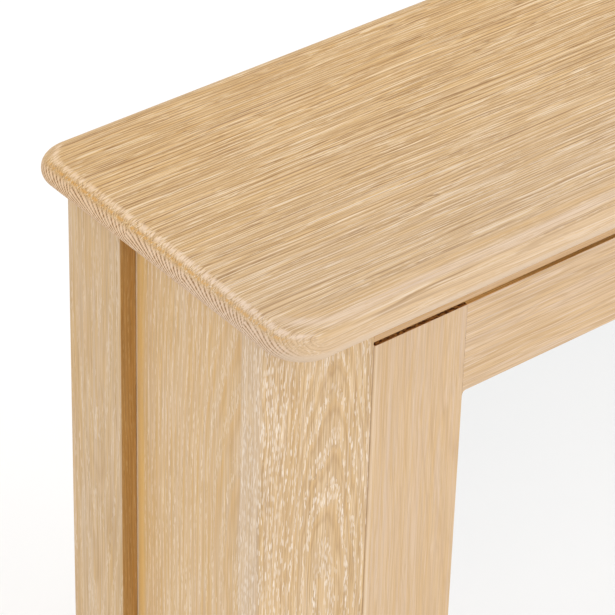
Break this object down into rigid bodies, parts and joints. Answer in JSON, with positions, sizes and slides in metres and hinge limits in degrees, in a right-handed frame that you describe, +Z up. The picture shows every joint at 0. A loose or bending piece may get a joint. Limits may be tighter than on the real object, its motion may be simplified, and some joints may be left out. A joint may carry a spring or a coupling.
{
  "type": "sliding door wardrobe",
  "caption": "Solid oak wardrobe with a rounded overhanging top, post-and-panel sides and overlapping mirrored doors that slide on bottom rollers.",
  "frame": {"origin": "centre of the overall box, on the floor", "axes": "+X along the front to the right, +Y towards the back, +Z up; the doors face -Y"},
  "size_m": [1.8, 0.55, 2.05],
  "materials": {
    "limed_oak": "limed and matt lacquered solid oak",
    "oak_veneer": "matt oak veneered board",
    "mirror_glass": "silvered plate glass",
    "aluminium_track": "satin anodised",
    "satin_steel": "satin nickel plated",
    "nylon": "moulded nylon",
    "glide_rubber": "matt"
  },
  "bodies": {
    "carcass": {"top_board": "limed_oak", "front_post_left": "limed_oak", "front_post_right": "limed_oak", "back_stile_left": "limed_oak", "back_stile_right": "limed_oak", "side_panel_left": "limed_oak", "side_panel_right": "limed_oak", "side_bottom_rail_left": "limed_oak", "side_bottom_rail_right": "limed_oak", "front_top_rail": "limed_oak", "inner_top_rail": "limed_oak", "front_bottom_rail": "limed_oak", "inner_bottom_rail": "limed_oak", "back_top_rail": "limed_oak", "back_bottom_rail": "limed_oak", "back_muntin": "limed_oak", "back_panel_left": "oak_veneer", "back_panel_right": "oak_veneer", "top_guide_channel_front": "aluminium_track", "top_guide_channel_rear": "aluminium_track", "bottom_track_front": "aluminium_track", "bottom_track_rear": "aluminium_track", "glide_front_left": "glide_rubber", "glide_front_right": "glide_rubber", "glide_back_left": "glide_rubber", "glide_back_right": "glide_rubber", "floor_board": "limed_oak", "centre_divider": "limed_oak", "hat_shelf": "limed_oak", "lower_shelf": "limed_oak", "upper_shelf": "limed_oak", "hanging_rail": "satin_steel", "rail_bracket_front": "satin_steel", "rail_bracket_back": "satin_steel"},
    "front_door": {"front_door_stile_left": "limed_oak", "front_door_stile_right": "limed_oak", "front_door_top_rail": "limed_oak", "front_door_bottom_rail": "limed_oak", "front_door_mirror": "mirror_glass", "front_door_backing_board": "oak_veneer", "front_door_finger_pull": "satin_steel", "front_door_carriage_left": "satin_steel", "front_door_carriage_right": "satin_steel", "front_door_guide_left": "nylon", "front_door_guide_right": "nylon"},
    "front_roller_left": {"front_door_roller_left": "nylon"},
    "front_roller_right": {"front_door_roller_right": "nylon"},
    "rear_door": {"rear_door_stile_left": "limed_oak", "rear_door_stile_right": "limed_oak", "rear_door_top_rail": "limed_oak", "rear_door_bottom_rail": "limed_oak", "rear_door_mirror": "mirror_glass", "rear_door_backing_board": "oak_veneer", "rear_door_finger_pull": "satin_steel", "rear_door_carriage_left": "satin_steel", "rear_door_carriage_right": "satin_steel", "rear_door_guide_left": "nylon", "rear_door_guide_right": "nylon"},
    "rear_roller_left": {"rear_door_roller_left": "nylon"},
    "rear_roller_right": {"rear_door_roller_right": "nylon"}
  },
  "joints": [
    {"name": "front_door_slide", "type": "slide", "parent": "carcass", "child": "front_door", "axis": [1, 0, 0], "range_m": [0, 0.6325]},
    {"name": "front_roller_left_spin", "type": "hinge", "parent": "front_door", "child": "front_roller_left", "pos_m": [-0.4825, -0.18, 0.1598], "axis": [0, 1, 0], "range_deg": [0, 2590]},
    {"name": "front_roller_right_spin", "type": "hinge", "parent": "front_door", "child": "front_roller_right", "pos_m": [-0.15, -0.18, 0.1598], "axis": [0, 1, 0], "range_deg": [0, 2590]},
    {"name": "rear_door_slide", "type": "slide", "parent": "carcass", "child": "rear_door", "axis": [1, 0, 0], "range_m": [-0.6325, 0]},
    {"name": "rear_roller_left_spin", "type": "hinge", "parent": "rear_door", "child": "rear_roller_left", "pos_m": [0.15, -0.142, 0.1598], "axis": [0, 1, 0], "range_deg": [-2590, 0]},
    {"name": "rear_roller_right_spin", "type": "hinge", "parent": "rear_door", "child": "rear_roller_right", "pos_m": [0.4825, -0.142, 0.1598], "axis": [0, 1, 0], "range_deg": [-2590, 0]}
  ],
  "couplings": [
    {"joint": "front_roller_left_spin", "follows": "front_door_slide", "rad_per_m": 71.429},
    {"joint": "front_roller_right_spin", "follows": "front_door_slide", "rad_per_m": 71.429},
    {"joint": "rear_roller_left_spin", "follows": "rear_door_slide", "rad_per_m": 71.429},
    {"joint": "rear_roller_right_spin", "follows": "rear_door_slide", "rad_per_m": 71.429}
  ]
}
